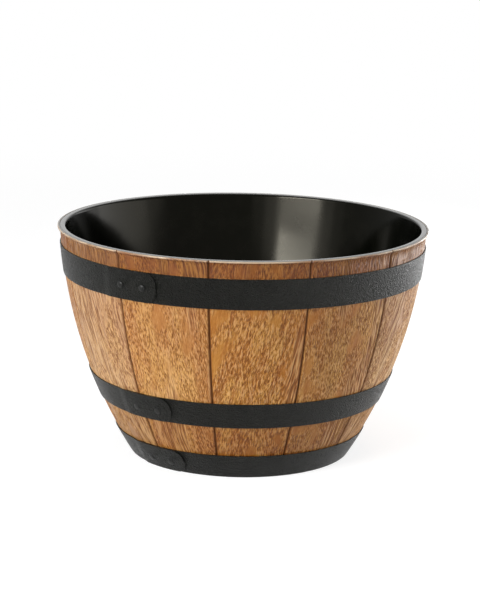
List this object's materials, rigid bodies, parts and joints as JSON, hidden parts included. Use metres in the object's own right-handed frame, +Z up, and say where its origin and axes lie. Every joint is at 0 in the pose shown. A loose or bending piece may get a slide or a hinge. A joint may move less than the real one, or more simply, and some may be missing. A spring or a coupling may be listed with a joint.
{
  "type": "barrel planter",
  "caption": "Half-barrel planter: a coopered oak shell held by black steel hoops, with a lift-out black liner that drains through its floor.",
  "frame": {"origin": "on the floor, at the centre of the base", "axes": "+Z up; the hoop laps face -Y, turned 26 degrees towards -X"},
  "size_m": [0.39, 0.39, 0.242],
  "materials": {
    "oak": "open-grained oak, brushed and oiled",
    "head_oak": "planed oak, unfinished",
    "hoop_steel": "satin black over hammered steel",
    "rivet_steel": "satin black",
    "liner_plastic": "glossy black moulding"
  },
  "bodies": {
    "shell": {"stave_01": "oak", "stave_02": "oak", "stave_03": "oak", "stave_04": "oak", "stave_05": "oak", "stave_06": "oak", "stave_07": "oak", "stave_08": "oak", "stave_09": "oak", "stave_10": "oak", "stave_11": "oak", "stave_12": "oak", "top_hoop": "hoop_steel", "middle_hoop": "hoop_steel", "bottom_hoop": "hoop_steel", "top_hoop_rivets": "rivet_steel", "middle_hoop_rivets": "rivet_steel", "bottom_hoop_rivets": "rivet_steel", "head_board_left": "head_oak", "head_board_middle": "head_oak", "head_board_right": "head_oak", "head_dowels": "head_oak"},
    "liner": {"liner": "liner_plastic"}
  },
  "joints": [
    {"name": "liner_lift", "type": "slide", "parent": "shell", "child": "liner", "axis": [0, 0, 1], "range_m": [0, 0.23]}
  ]
}
